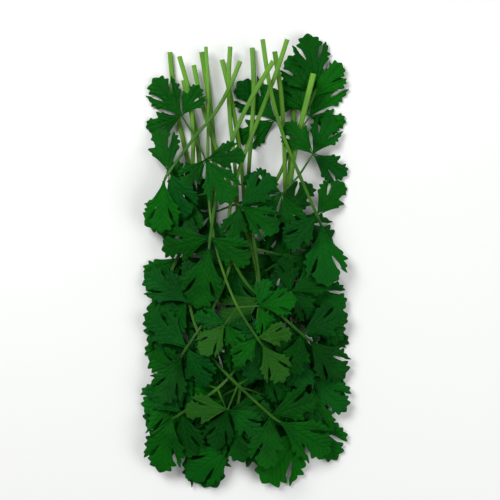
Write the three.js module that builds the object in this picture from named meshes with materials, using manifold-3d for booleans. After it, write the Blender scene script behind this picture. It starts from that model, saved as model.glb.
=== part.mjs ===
// A cut bunch of flat-leaf parsley, lying on a table. Each leafy stem is one solid: a petiole with its cut end, a
// rachis with pairs of side stalks, and lobed, toothed leaflets that grow from them. The stems are laid one over
// another, and every stalk and leaflet is let down until it rests on what already lies below it.
// Millimetres, +Z up. The cut ends lie towards +Y, most leaf tips towards -Y, and the origin is under the middle.

import * as THREE from "three";
import { mergeVertices } from "three/addons/utils/BufferGeometryUtils.js";
import Module from "manifold-3d";

const wasm = await Module();
wasm.setup();

// Driving dimensions of the bunch
const BUNCH_WIDTH = 103;
const BUNCH_LENGTH = 226;
const CORNER_ROUND = 14;

// Driving dimensions of one leafy stem at scale 1
const PETIOLE_RADIUS = 1.45;
const RACHIS_END_RADIUS = 0.75;
const STALK_RADIUS = 0.7;
const STALK_END_RADIUS = 0.55;
const INTERNODE = 24;
const TIP_STALK = 6;
const PAIRS_FROM_TIP = [
  { stalk: 0, leaflet: 26, spread: 62 },
  { stalk: 14, leaflet: 26, spread: 66 },
  { stalk: 19, leaflet: 27, spread: 72 },
];
const TERMINAL_LEAFLET = 30;
const SIDE_LEAFLET_SHARE = 0.84;
const SIDE_LEAFLET_SPREAD = 68;
const ANGLE_JITTER = 7;
const SIZE_JITTER = 0.12;
const PETIOLE_BOW = 0.4;
const PETIOLE_SWAY = 14;
const RACHIS_SWAY = 8;
const ANGLE_TURN = 6;
const LOBE_ANGLE = 0.5;
const LOBE_SHARE = 0.8;
const BEND = [-0.08, 0.03];
const FOLD = [-0.06, 0.06];
const TWIST = [-0.1, 0.1];

// Driving dimensions of a blade and of how the pile settles
const BLADE_THICKNESS = 0.7;
const GAP = 0.55;
const PETIOLE_REACH = 2.5;
const FROND_REACH = 3.5;
const NODE_REACH = 5.5;
const STEM_STEP = 16;
const FEWEST_STEPS = 4;
const STEM_SAG = 0.9;
const END_SAG = 2.5;
const BRIDGE_PASSES = 8;
const EARLY = 0.25;
const HALFWAY = 0.5;
const LATE = 0.75;
const LEANS = [0, -0.12, 0.12, -0.24, 0.24, -0.36];
const LEVEL_STEP = 1e-3;
const DEEPEST_DROOP = 0.3;
const NECK_END = 0.15;
const RISE_END = 0.3;
const OWN_FROM = 0.45;
const CELL = 1.5;
const PILE_BORDER = 12;
const SAMPLE_STEP = 1;
const STEM_SIDES = 6;
const STALK_SIDES = 4;
const WELD = 1e-4;
const SLIVER = 0.035;

// The generator of draws
const DRAW_FACTOR = 16807;
const DRAW_PERIOD = 2147483647;
const DRAWS_SKIPPED = 4;

// Leaflet outlines, one unit long, with the neck just behind the node at (0, 0) and the tip at (0, 1)
const THREE_LOBED_HALF = [
  [0.024, -0.02],
  [0.2, 0.34],
  [0.38, 0.54],
  [0.31, 0.6],
  [0.38, 0.78],
  [0.13, 0.54],
  [0.2, 0.87],
];
const THREE_LOBED = [
  ...THREE_LOBED_HALF,
  [0, 1],
  ...THREE_LOBED_HALF.map(([u, v]) => [-u, v]).reverse(),
];
const TWO_LOBED = [
  [0.024, -0.02],
  [0.24, 0.36],
  [0.42, 0.58],
  [0.32, 0.63],
  [0.36, 0.79],
  [0.12, 0.56],
  [0.21, 0.89],
  [0, 1],
  [-0.19, 0.84],
  [-0.16, 0.72],
  [-0.31, 0.6],
  [-0.19, 0.35],
  [-0.024, -0.02],
];

// The leafy stems in the order in which they are laid down: where the cut end and the first fork lie, which way
// the leafy end points, in degrees from +X, and how large it is
const LEAFY_STEMS = [
  { cut: [-22, 104], fork: [-23, -50], heading: -97, scale: 1.15, pairs: 2, seed: 11, tone: "dark" },
  { cut: [25, 99], fork: [23, -48], heading: -83, scale: 1.15, pairs: 2, seed: 29, tone: "mid" },
  { cut: [-9, 2], fork: [24, 61], heading: 72, scale: 0.95, pairs: 2, seed: 61, tone: "light" },
  { cut: [-12, 100], fork: [-3, -62], heading: -92, scale: 0.95, pairs: 2, seed: 73, tone: "mid" },
  { cut: [-38, 104], fork: [-25, -36], heading: -104, scale: 0.98, pairs: 2, seed: 89, tone: "light" },
  { cut: [14, 103], fork: [27, -34], heading: -76, scale: 0.98, pairs: 2, seed: 97, tone: "dark" },
  { cut: [-31, 90], fork: [-27, 18], heading: -106, scale: 1.15, pairs: 2, seed: 41, tone: "mid" },
  { cut: [33, 92], fork: [23, 4], heading: -82, scale: 1.15, pairs: 2, seed: 53, tone: "dark" },
  { cut: [-26, 97], fork: [-14, -62], heading: -138, scale: 0.9, pairs: 2, seed: 127, tone: "dark" },
  { cut: [-33, 101], fork: [-4, -60], heading: -40, scale: 0.92, pairs: 2, seed: 163, tone: "dark" },
  { cut: [3, 106], fork: [1, 30], heading: -90, scale: 1.0, pairs: 3, seed: 37, tone: "dark" },
  { cut: [-8, 106], fork: [-17, -24], heading: -119, scale: 0.9, pairs: 2, seed: 151, tone: "dark" },
  { cut: [20, 108], fork: [11, -21], heading: -36, scale: 0.9, pairs: 2, seed: 139, tone: "dark" },
  { cut: [-20, 106], fork: [-4, -22], heading: -64, scale: 0.72, pairs: 2, seed: 181, tone: "light" },
  { cut: [8, 108], fork: [26, 42], heading: -66, scale: 0.9, pairs: 2, seed: 113, tone: "mid" },
  { cut: [13, 96], fork: [-14, 34], heading: -104, scale: 0.95, pairs: 2, seed: 173, tone: "mid" },
  { cut: [-3, 98], fork: [-25, 61], heading: -132, scale: 0.9, pairs: 2, seed: 103, tone: "mid" },
];

const TONES = { dark: 0x0d4f16, mid: 0x156419, light: 0x2c7a1f };

const radians = THREE.MathUtils.degToRad;

// Even draws between two bounds, from a small generator that makes the same bunch in every run
function randomDraws(seed) {
  let state = seed;
  const next = () => {
    state = (state * DRAW_FACTOR) % DRAW_PERIOD;
    return state / DRAW_PERIOD;
  };
  for (let i = 0; i < DRAWS_SKIPPED; i++) next();
  return (low, high) => low + (high - low) * next();
}

const polar = (angle, length) => new THREE.Vector2(Math.cos(angle) * length, Math.sin(angle) * length);

const smooth = (t) => {
  const s = Math.min(1, Math.max(0, t));
  return s * s * (3 - 2 * s);
};

// How far a point lies outside the rounded rectangle that the bunch fills
function outside(point) {
  const across = Math.abs(point.x) - (BUNCH_WIDTH / 2 - CORNER_ROUND);
  const along = Math.abs(point.y) - (BUNCH_LENGTH / 2 - CORNER_ROUND);
  return Math.hypot(Math.max(across, 0), Math.max(along, 0)) - CORNER_ROUND;
}

// The angle nearest to the wanted one at which a leaf's tip and side lobes stay inside the bunch
function turnInside(base, angle, length) {
  const probes = (at) => [
    polar(at, length),
    polar(at + LOBE_ANGLE, length * LOBE_SHARE),
    polar(at - LOBE_ANGLE, length * LOBE_SHARE),
  ];
  for (let turn = 0; turn < 180; turn += ANGLE_TURN) {
    for (const side of [1, -1]) {
      const tried = angle + side * radians(turn);
      if (probes(tried).every((probe) => outside(probe.add(base)) <= 0)) return tried;
    }
  }
  return angle;
}

// The height of the pile, over a grid of square cells seen from above
class Pile {
  constructor() {
    this.columns = Math.ceil((BUNCH_WIDTH + 2 * PILE_BORDER) / CELL);
    this.rows = Math.ceil((BUNCH_LENGTH + 2 * PILE_BORDER) / CELL);
    this.heights = new Float64Array(this.columns * this.rows).fill(-GAP);
  }

  column(x) {
    return Math.min(this.columns - 1, Math.max(0, Math.floor(x / CELL + this.columns / 2)));
  }

  row(y) {
    return Math.min(this.rows - 1, Math.max(0, Math.floor(y / CELL + this.rows / 2)));
  }

  at(x, y) {
    return this.heights[this.row(y) * this.columns + this.column(x)];
  }

  raise(x, y, z) {
    const cell = this.row(y) * this.columns + this.column(x);
    this.heights[cell] = Math.max(this.heights[cell], z);
  }

  highest(x, y, reach) {
    let top = -GAP;
    for (let r = this.row(y - reach); r <= this.row(y + reach); r++) {
      for (let c = this.column(x - reach); c <= this.column(x + reach); c++) {
        top = Math.max(top, this.heights[r * this.columns + c]);
      }
    }
    return top;
  }
}

// One leaflet's place, size and curl, seen from above
function planLeaflet(base, wanted, length, outline, mirror, draw) {
  const size = length * (1 + draw(-SIZE_JITTER, SIZE_JITTER));
  const angle = turnInside(base, wanted + radians(draw(-ANGLE_JITTER, ANGLE_JITTER)), size);
  return {
    base,
    angle,
    length: size,
    outline: outline.map(([u, v]) => [u * mirror * size, v * size]),
    bend: draw(...BEND),
    fold: draw(...FOLD),
    twist: draw(...TWIST),
  };
}

// The whole leafy stem seen from above: its axis, its side stalks and its leaflets
function planLeafyStem({ cut, fork: firstFork, heading, scale, pairs, seed }) {
  const draw = randomDraws(seed);
  const start = new THREE.Vector2(...cut);
  const end = new THREE.Vector2(...firstFork);
  const reach = start.distanceTo(end);
  const ahead = radians(heading);
  const straight = end.clone().sub(start).angle();
  const petiole = new THREE.CubicBezierCurve(
    start,
    start.clone().add(polar(straight + radians(draw(-PETIOLE_SWAY, PETIOLE_SWAY)), reach * PETIOLE_BOW)),
    end.clone().sub(polar(ahead, reach * PETIOLE_BOW)),
    end,
  );
  const axis = petiole.getPoints(Math.max(FEWEST_STEPS, Math.round(petiole.getLength() / STEM_STEP)));
  const fork = axis.length - 1;
  const stalks = [];
  const leaflets = [];
  let way = ahead;
  for (let pair = 0; pair < pairs; pair++) {
    const { stalk, leaflet, spread } = PAIRS_FROM_TIP[pairs - 1 - pair];
    const node = axis.length - 1;
    for (const side of [1, -1]) {
      const angle = way + side * radians(spread + draw(-ANGLE_JITTER, ANGLE_JITTER));
      if (stalk === 0) {
        const grown = planLeaflet(axis[node], angle, leaflet * scale, TWO_LOBED, -side, draw);
        leaflets.push({ ...grown, node, stalk: -1 });
        continue;
      }
      const out = turnInside(axis[node], angle, (stalk + leaflet) * scale);
      const tip = axis[node].clone().add(polar(out, stalk * scale));
      const middle = axis[node].clone().lerp(tip, HALFWAY);
      stalks.push({ node, points: [axis[node], middle, tip] });
      const from = { node, stalk: stalks.length - 1 };
      leaflets.push({ ...planLeaflet(tip, out, leaflet * scale, THREE_LOBED, 1, draw), ...from });
      for (const hand of [1, -1]) {
        const turned = out + hand * radians(SIDE_LEAFLET_SPREAD);
        const small = leaflet * scale * SIDE_LEAFLET_SHARE;
        leaflets.push({ ...planLeaflet(tip, turned, small, TWO_LOBED, -hand, draw), ...from });
      }
    }
    way += radians(draw(-RACHIS_SWAY, RACHIS_SWAY));
    const step = pair === pairs - 1 ? TIP_STALK : INTERNODE;
    axis.push(axis[node].clone().add(polar(way, step * scale)));
  }
  const last = axis.length - 1;
  const crown = planLeaflet(axis[last], way, TERMINAL_LEAFLET * scale, THREE_LOBED, 1, draw);
  leaflets.push({ ...crown, node: last, stalk: -1 });
  return { axis, fork, stalks, leaflets, scale };
}

const radiusAt = (i, count, thick, thin) => thick + (thin - thick) * (i / (count - 1));

// Heights for a stalk's points, so that it bridges hollows and clears what lies below it and just beside it
function bridge(pile, points, radii, reach, first) {
  const clear = (i, share) => {
    const p = points[i].clone().lerp(points[Math.min(i + 1, points.length - 1)], share);
    return pile.highest(p.x, p.y, reach(i)) + GAP;
  };
  const heights = radii.map((radius, i) => {
    const before = i > 0 ? clear(i - 1, LATE) : 0;
    return Math.max(before, clear(i, 0), clear(i, EARLY)) + radius;
  });
  if (first !== undefined) heights[0] = first;
  for (let pass = 0; pass < BRIDGE_PASSES; pass++) {
    if (first === undefined) heights[0] = Math.max(heights[0], 2 * heights[1] - heights[2] - END_SAG);
    for (let i = 1; i < heights.length - 1; i++) {
      heights[i] = Math.max(heights[i], (heights[i - 1] + heights[i + 1]) / 2 - STEM_SAG);
    }
    for (let i = 0; i + 1 < heights.length; i++) {
      const level = (heights[i] + heights[i + 1]) / 2;
      const needed = clear(i, HALFWAY) + (radii[i] + radii[i + 1]) / 2;
      const short = Math.max(0, needed - level);
      if (i > 0) heights[i] += short;
      heights[i + 1] += i > 0 ? short : 2 * short;
    }
  }
  return points.map((p, i) => new THREE.Vector3(p.x, p.y, heights[i]));
}

// Where a point of a leaflet's plan lies: u across its midrib and v along it
function placeOnLeaflet(leaflet, u, v) {
  const along = Math.cos(leaflet.angle);
  const across = Math.sin(leaflet.angle);
  return [leaflet.base.x + v * along + u * across, leaflet.base.y + v * across - u * along];
}

// How far a leaflet's own curl takes its middle surface from a plane
function leafletCurl(leaflet, u, v) {
  const t = v / leaflet.length;
  return leaflet.bend * v * t + leaflet.fold * Math.abs(u) * smooth(t / RISE_END) + leaflet.twist * u * t;
}

// The height of a settled leaflet's middle surface
function leafletHeight(leaflet, u, v) {
  const raised = (leaflet.lift + leaflet.leanAcross * u) * smooth(v / leaflet.length / RISE_END);
  return leaflet.nodeHeight + leaflet.leanAlong * v + raised + leafletCurl(leaflet, u, v);
}

function insideOutline(outline, u, v) {
  let inside = false;
  outline.forEach(([u1, v1], i) => {
    const [u0, v0] = outline[(i + outline.length - 1) % outline.length];
    if (v1 > v !== v0 > v && u < ((u0 - u1) * (v - v1)) / (v0 - v1) + u1) inside = !inside;
  });
  return inside;
}

// Points spread over a leaflet, for finding what it lies on
function samplesOf(leaflet) {
  const samples = leaflet.outline.map(([u, v]) => [u, v]);
  const half = Math.ceil(leaflet.length / 2);
  for (let u = -half; u <= half; u += SAMPLE_STEP) {
    for (let v = 0; v <= leaflet.length; v += SAMPLE_STEP) {
      if (insideOutline(leaflet.outline, u, v)) samples.push([u, v]);
    }
  }
  return samples;
}

// Lets a leaflet down on the pile and on the leaflets of its own stem that are already down, leaning it the way
// that brings it lowest
function settleLeaflet(leaflet, pile, own) {
  const { length } = leaflet;
  const samples = samplesOf(leaflet);
  const free = samples
    .filter(([, v]) => v > NECK_END * length)
    .map(([u, v]) => {
      const [x, y] = placeOnLeaflet(leaflet, u, v);
      const ground = Math.max(pile.at(x, y), v > OWN_FROM * length ? own.at(x, y) : -GAP);
      const share = smooth(v / length / RISE_END);
      const curl = leafletCurl(leaflet, u, v);
      return { u, v, share, short: ground + GAP + BLADE_THICKNESS / 2 - leaflet.nodeHeight - curl };
    });
  let lowest = Infinity;
  for (const leanAlong of LEANS) {
    for (const leanAcross of LEANS) {
      let lift = -DEEPEST_DROOP * length;
      for (const { u, v, share, short } of free) {
        lift = Math.max(lift, (short - leanAlong * v) / share - leanAcross * u);
      }
      const level = free.reduce((sum, { v, share }) => sum + leanAlong * v + lift * share, 0) / free.length;
      if (level < lowest - LEVEL_STEP) {
        lowest = level;
        Object.assign(leaflet, { leanAlong, leanAcross, lift });
      }
    }
  }
  for (const [u, v] of samples) {
    if (v < OWN_FROM * length) continue;
    own.raise(...placeOnLeaflet(leaflet, u, v), leafletHeight(leaflet, u, v) + BLADE_THICKNESS / 2);
  }
  leaflet.samples = samples;
}

// Raises the pile under a stalk
function buryStalk(pile, points, radii) {
  for (let i = 0; i + 1 < points.length; i++) {
    const steps = Math.ceil(points[i].distanceTo(points[i + 1]) / SAMPLE_STEP);
    const r = radii[i];
    for (let s = 0; s <= steps; s++) {
      const p = points[i].clone().lerp(points[i + 1], s / steps);
      for (const dx of [-r, 0, r]) {
        for (const dy of [-r, 0, r]) pile.raise(p.x + dx, p.y + dy, p.z + r);
      }
    }
  }
}

// Gives a planned leafy stem its heights, and adds it to the pile
function settleLeafyStem(plan, pile) {
  const count = plan.axis.length;
  const radii = plan.axis.map((_, i) => radiusAt(i, count, PETIOLE_RADIUS, RACHIS_END_RADIUS) * plan.scale);
  const axis = bridge(pile, plan.axis, radii, (i) => (i < plan.fork ? PETIOLE_REACH : NODE_REACH));
  const thin = [STALK_RADIUS, (STALK_RADIUS + STALK_END_RADIUS) / 2, STALK_END_RADIUS].map((r) => r * plan.scale);
  const reach = (i) => (i < 2 ? FROND_REACH : NODE_REACH);
  const stalks = plan.stalks.map(({ node, points }) => bridge(pile, points, thin, reach, axis[node].z));
  const own = new Pile();
  for (const leaflet of plan.leaflets) {
    leaflet.nodeHeight = leaflet.stalk < 0 ? axis[leaflet.node].z : stalks[leaflet.stalk][2].z;
    settleLeaflet(leaflet, pile, own);
  }
  buryStalk(pile, axis, radii);
  stalks.forEach((points) => buryStalk(pile, points, thin));
  for (const leaflet of plan.leaflets) {
    for (const [u, v] of leaflet.samples) {
      pile.raise(...placeOnLeaflet(leaflet, u, v), leafletHeight(leaflet, u, v) + BLADE_THICKNESS / 2);
    }
  }
  return { axis, radii, stalks, thin, leaflets: plan.leaflets };
}

// A capped rod bent along points, with one ring of corners at each point and a flat side underneath
function stalkGeometry(points, radii, sides) {
  const segments = points.length - 1;
  const rod = new THREE.CylinderGeometry(1, 1, 1, sides, segments, false, Math.PI / sides);
  const position = rod.getAttribute("position");
  const flat = Math.cos(Math.PI / sides);
  for (let i = 0; i < position.count; i++) {
    const ring = Math.round((position.getY(i) + 0.5) * segments);
    const along = points[Math.min(segments, ring + 1)].clone().sub(points[Math.max(0, ring - 1)]).normalize();
    const up = new THREE.Vector3(0, 0, 1).addScaledVector(along, -along.z).normalize();
    const side = new THREE.Vector3().crossVectors(along, up);
    const corner = points[ring].clone();
    corner.addScaledVector(side, position.getX(i) * radii[ring]);
    corner.addScaledVector(up, (position.getZ(i) * radii[ring]) / flat);
    position.setXYZ(i, corner.x, corner.y, corner.z);
  }
  return rod;
}

// A thin plate of the leaflet's outline, with both faces bent alike to its settled form
function bladeGeometry(leaflet) {
  const outline = new THREE.Shape(leaflet.outline.map(([u, v]) => new THREE.Vector2(u, v)));
  const plate = new THREE.ExtrudeGeometry(outline, { depth: BLADE_THICKNESS, bevelEnabled: false });
  const position = plate.getAttribute("position");
  for (let i = 0; i < position.count; i++) {
    const [u, v, w] = [position.getX(i), position.getY(i), position.getZ(i)];
    const [x, y] = placeOnLeaflet(leaflet, u, v);
    position.setXYZ(i, x, y, leafletHeight(leaflet, u, v) + w - BLADE_THICKNESS / 2);
  }
  return plate;
}

function solidOf(geometry) {
  geometry.deleteAttribute("normal");
  geometry.deleteAttribute("uv");
  const merged = mergeVertices(geometry, WELD);
  return new wasm.Manifold(
    new wasm.Mesh({
      numProp: 3,
      vertProperties: merged.getAttribute("position").array,
      triVerts: new Uint32Array(merged.index.array),
    }),
  );
}

function geometryOf(solid) {
  const mesh = solid.getMesh();
  return new THREE.BufferGeometry()
    .setAttribute("position", new THREE.BufferAttribute(mesh.vertProperties, 3))
    .setIndex(new THREE.BufferAttribute(mesh.triVerts, 1));
}

// The whole piece's outer surface, with any pocket closed in between crossing leaflets filled, and without the
// slivers left where faces cross
function outerSurface(solid) {
  const outer = solid.decompose().reduce((a, b) => (a.volume() > b.volume() ? a : b));
  return outer.simplify(SLIVER);
}

// Fuses a settled leafy stem into one solid
function leafyStemMesh(settled, name, tone) {
  const pieces = [
    stalkGeometry(settled.axis, settled.radii, STEM_SIDES),
    ...settled.stalks.map((points) => stalkGeometry(points, settled.thin, STALK_SIDES)),
    ...settled.leaflets.map(bladeGeometry),
  ];
  const fused = pieces.map(solidOf).reduce((whole, piece) => whole.add(piece));
  const green = new THREE.MeshStandardMaterial({ color: TONES[tone], roughness: 0.5, metalness: 0 });
  const mesh = new THREE.Mesh(geometryOf(outerSurface(fused)), green);
  mesh.name = name;
  return mesh;
}

const pile = new Pile();
const bunch = new THREE.Group();
LEAFY_STEMS.forEach((stem, i) => {
  const settled = settleLeafyStem(planLeafyStem(stem), pile);
  bunch.add(leafyStemMesh(settled, `leafy_stem_${String(i + 1).padStart(2, "0")}`, stem.tone));
});

// The origin goes under the middle of the bunch
const middle = new THREE.Box3().setFromObject(bunch).getCenter(new THREE.Vector3());
bunch.children.forEach((mesh) => mesh.geometry.translate(-middle.x, -middle.y, 0));

export default bunch;
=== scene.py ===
# %% [markdown]
# # A cut bunch of flat-leaf parsley
# Seventeen leafy stems lie over one another. Each has a petiole with a cut end, thin side stalks and
# lobed, toothed leaflets. The frame gives a coarse solid for each. This file grows the same stems
# from the same numbers, and dresses them with finer leaflets and ribbed stalks.

# %% Load the frame
import math
import bpy
import numpy as np
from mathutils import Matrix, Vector


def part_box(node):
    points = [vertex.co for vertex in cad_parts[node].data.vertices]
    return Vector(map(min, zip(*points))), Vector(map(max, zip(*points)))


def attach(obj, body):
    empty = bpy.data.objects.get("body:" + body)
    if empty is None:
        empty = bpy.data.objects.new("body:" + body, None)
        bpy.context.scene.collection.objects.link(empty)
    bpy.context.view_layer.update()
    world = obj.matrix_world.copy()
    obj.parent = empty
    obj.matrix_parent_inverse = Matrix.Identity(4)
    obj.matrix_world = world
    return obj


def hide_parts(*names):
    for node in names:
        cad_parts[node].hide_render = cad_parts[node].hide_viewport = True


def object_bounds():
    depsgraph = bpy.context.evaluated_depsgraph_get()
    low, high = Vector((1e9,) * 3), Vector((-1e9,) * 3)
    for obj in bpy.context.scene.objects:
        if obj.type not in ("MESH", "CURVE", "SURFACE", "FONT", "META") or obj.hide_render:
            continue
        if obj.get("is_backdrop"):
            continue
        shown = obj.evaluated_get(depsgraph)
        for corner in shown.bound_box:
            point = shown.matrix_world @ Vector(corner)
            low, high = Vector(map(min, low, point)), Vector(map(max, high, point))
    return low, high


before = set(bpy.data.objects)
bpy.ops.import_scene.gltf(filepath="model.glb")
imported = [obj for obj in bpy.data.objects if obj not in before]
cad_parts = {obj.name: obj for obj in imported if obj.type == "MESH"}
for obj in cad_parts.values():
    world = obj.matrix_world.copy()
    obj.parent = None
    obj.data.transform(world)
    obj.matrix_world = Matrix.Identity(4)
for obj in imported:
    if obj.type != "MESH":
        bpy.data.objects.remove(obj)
cad_low, cad_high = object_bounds()
print("solids from", tuple(round(c, 4) for c in cad_low), "to", tuple(round(c, 4) for c in cad_high))

# %% [markdown]
# ## How one leafy stem grows
# A parsley leaf is a long petiole that forks into pairs of side stalks, each with a fan of three
# leaflets. It could be drawn by hand, but a plan from a few numbers is shorter. It is drawn as seen
# from above, in millimetres and degrees.

# %% The measures of a stem
PETIOLE_RADIUS, RACHIS_END_RADIUS = 1.45, 0.75
STALK_RADIUS, STALK_END_RADIUS, STALK_POINTS = 0.7, 0.55, 3
PETIOLE_SWAY, PETIOLE_BOW, RACHIS_SWAY = 14, 0.4, 8
CURVE_STEPS, STEM_STEP, FEWEST_STEPS = 200, 16, 4
INTERNODE, TIP_STALK, TERMINAL_LEAFLET = 24, 6, 30
# for each pair, from the tip down: stalk, middle leaflet and angle
PAIRS_FROM_TIP = [(0, 26, 62), (14, 26, 66), (19, 27, 72)]
SIDE_LEAFLET_SHARE, SIDE_LEAFLET_SPREAD = 0.84, 68
ANGLE_JITTER, SIZE_JITTER = 7, 0.12
BEND, FOLD, TWIST = (-0.08, 0.03), (-0.06, 0.06), (-0.1, 0.1)
print("a petiole is", 2 * PETIOLE_RADIUS, "mm thick at its cut end")

# %% The leafy stems, in the order of laying
# cut end, first fork, heading beyond it, scale, pairs of leaves, seed, tone
LEAFY_STEMS = [
    ((-22, 104), (-23, -50), -97, 1.15, 2, 11, "dark"),
    ((25, 99), (23, -48), -83, 1.15, 2, 29, "mid"),
    ((-9, 2), (24, 61), 72, 0.95, 2, 61, "light"),
    ((-12, 100), (-3, -62), -92, 0.95, 2, 73, "mid"),
    ((-38, 104), (-25, -36), -104, 0.98, 2, 89, "light"),
    ((14, 103), (27, -34), -76, 0.98, 2, 97, "dark"),
    ((-31, 90), (-27, 18), -106, 1.15, 2, 41, "mid"),
    ((33, 92), (23, 4), -82, 1.15, 2, 53, "dark"),
    ((-26, 97), (-14, -62), -138, 0.9, 2, 127, "dark"),
    ((-33, 101), (-4, -60), -40, 0.92, 2, 163, "dark"),
    ((3, 106), (1, 30), -90, 1.0, 3, 37, "dark"),
    ((-8, 106), (-17, -24), -119, 0.9, 2, 151, "dark"),
    ((20, 108), (11, -21), -36, 0.9, 2, 139, "dark"),
    ((-20, 106), (-4, -22), -64, 0.72, 2, 181, "light"),
    ((8, 108), (26, 42), -66, 0.9, 2, 113, "mid"),
    ((13, 96), (-14, 34), -104, 0.95, 2, 173, "mid"),
    ((-3, 98), (-25, 61), -132, 0.9, 2, 103, "mid"),
]
print(len(LEAFY_STEMS), "leafy stems")

# %% The coarse outlines of a leaflet, one unit long
COARSE_HALF = [
    (0.024, -0.02), (0.2, 0.34), (0.38, 0.54), (0.31, 0.6), (0.38, 0.78), (0.13, 0.54), (0.2, 0.87),
]
COARSE = {
    "three_lobed": np.array([*COARSE_HALF, (0, 1), *[(-u, v) for u, v in reversed(COARSE_HALF)]]),
    "two_lobed": np.array([
        (0.024, -0.02), (0.24, 0.36), (0.42, 0.58), (0.32, 0.63), (0.36, 0.79), (0.12, 0.56),
        (0.21, 0.89), (0, 1), (-0.19, 0.84), (-0.16, 0.72), (-0.31, 0.6), (-0.19, 0.35),
        (-0.024, -0.02),
    ]),
}
print(*COARSE)

# %% [markdown]
# ## Chance, and the edge of the bunch
# No two leaves are alike, so they vary by chance, with a small generator that is written out because
# the solids were grown with the same one. The outer leaves of a packed bunch are pushed in, so a
# leaflet that would stick out could be cut, but is turned until it lies inside.

# %% Draws that come out the same in every run
DRAW_FACTOR, DRAW_PERIOD, DRAWS_SKIPPED = 16807, 2147483647, 4


class Draws:
    def __init__(self, seed):
        self.state = seed
        for _ in range(DRAWS_SKIPPED):
            self.step()

    def step(self):
        self.state = self.state * DRAW_FACTOR % DRAW_PERIOD
        return self.state / DRAW_PERIOD

    def __call__(self, low, high):
        return low + (high - low) * self.step()

print("a first draw", round(Draws(11)(0, 1), 3))

# %% Keep inside the edge of the bunch
BUNCH_WIDTH, BUNCH_LENGTH, CORNER_ROUND = 103, 226, 14
LOBE_ANGLE, LOBE_SHARE, ANGLE_TURN, LARGEST_TURN = 0.5, 0.8, 6, 180


def polar(angle, length):
    return np.array([math.cos(angle), math.sin(angle)]) * length


def outside(point):
    """How far a point lies outside the rounded rectangle; inside, zero or less."""
    across = abs(point[0]) - (BUNCH_WIDTH / 2 - CORNER_ROUND)
    along = abs(point[1]) - (BUNCH_LENGTH / 2 - CORNER_ROUND)
    return math.hypot(max(across, 0), max(along, 0)) - CORNER_ROUND


def turn_inside(base, angle, length):
    """The nearest angle at which a leaf's tip and both its side lobes lie inside."""
    for turn in range(0, LARGEST_TURN, ANGLE_TURN):
        for side in (1, -1):
            tried = angle + side * math.radians(turn)
            probes = [(tried, length)]
            probes += [(tried + lobe, length * LOBE_SHARE) for lobe in (LOBE_ANGLE, -LOBE_ANGLE)]
            if all(outside(base + polar(a, reach)) <= 0 for a, reach in probes):
                return tried
    return angle

print("the bunch is", BUNCH_WIDTH, "by", BUNCH_LENGTH, "mm")

# %% [markdown]
# ## The plan of a leafy stem
# The petiole bends a little up to its first fork, and the rachis goes on in straight steps, with a
# node for each pair of leaves. Blender's curves could be drawn for this, but a list of points is
# easier to measure when the pile is built.

# %% Plan a leaflet and a petiole


def plan_leaflet(base, wanted, length, kind, mirror, draw):
    size = length * (1 + draw(-SIZE_JITTER, SIZE_JITTER))
    angle = turn_inside(base, wanted + math.radians(draw(-ANGLE_JITTER, ANGLE_JITTER)), size)
    outline = COARSE[kind] * [mirror * size, size]
    leaflet = dict(base=base, angle=angle, length=size, kind=kind, mirror=mirror, outline=outline)
    return {**leaflet, "bend": draw(*BEND), "fold": draw(*FOLD), "twist": draw(*TWIST)}


def petiole_points(start, end, straight, ahead):
    reach = np.linalg.norm(end - start) * PETIOLE_BOW
    a, b, c, d = start, start + polar(straight, reach), end - polar(ahead, reach), end

    def point(t):
        k = 1 - t
        return k**3 * a + 3 * k * k * t * b + 3 * k * t * t * c + t**3 * d

    fine = [point(i / CURVE_STEPS) for i in range(CURVE_STEPS + 1)]
    length = sum(np.linalg.norm(after - before) for before, after in zip(fine, fine[1:]))
    count = max(FEWEST_STEPS, math.floor(length / STEM_STEP + 0.5))
    return [point(i / count) for i in range(count + 1)]


example = plan_leaflet(np.zeros(2), 0, TERMINAL_LEAFLET, "three_lobed", 1, Draws(1))
print("an example is", round(example["length"], 1), "mm long")

# %% Plan a whole leafy stem


def plan_leafy_stem(cut, neck, heading, scale, pairs, seed):
    draw = Draws(seed)
    start, end = np.array(cut, float), np.array(neck, float)
    ahead = math.radians(heading)
    straight = math.atan2(*(start - end)[::-1]) + math.pi
    sway = math.radians(draw(-PETIOLE_SWAY, PETIOLE_SWAY))
    axis = petiole_points(start, end, straight + sway, ahead)
    fork, stalks, leaflets, way = len(axis) - 1, [], [], ahead
    for pair in range(pairs):
        stalk, leaflet, spread = PAIRS_FROM_TIP[pairs - 1 - pair]
        node = len(axis) - 1
        for side in (1, -1):
            angle = way + side * math.radians(spread + draw(-ANGLE_JITTER, ANGLE_JITTER))
            if stalk == 0:
                made = plan_leaflet(axis[node], angle, leaflet * scale, "two_lobed", -side, draw)
                leaflets.append({**made, "node": node, "stalk": -1})
                continue
            out = turn_inside(axis[node], angle, (stalk + leaflet) * scale)
            tip = axis[node] + polar(out, stalk * scale)
            stalks.append((node, [axis[node], (axis[node] + tip) / 2, tip]))
            full, spread_by = leaflet * scale, math.radians(SIDE_LEAFLET_SPREAD)
            small = full * SIDE_LEAFLET_SHARE
            fan = [plan_leaflet(tip, out, full, "three_lobed", 1, draw)]
            for hand in (1, -1):
                turned = out + hand * spread_by
                fan.append(plan_leaflet(tip, turned, small, "two_lobed", -hand, draw))
            leaflets += [{**made, "node": node, "stalk": len(stalks) - 1} for made in fan]
        way += math.radians(draw(-RACHIS_SWAY, RACHIS_SWAY))
        step = TIP_STALK if pair == pairs - 1 else INTERNODE
        axis.append(axis[node] + polar(way, step * scale))
    last = len(axis) - 1
    crown = plan_leaflet(axis[last], way, TERMINAL_LEAFLET * scale, "three_lobed", 1, draw)
    leaflets.append({**crown, "node": last, "stalk": -1})
    return {"axis": axis, "fork": fork, "stalks": stalks, "leaflets": leaflets, "scale": scale}


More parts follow.
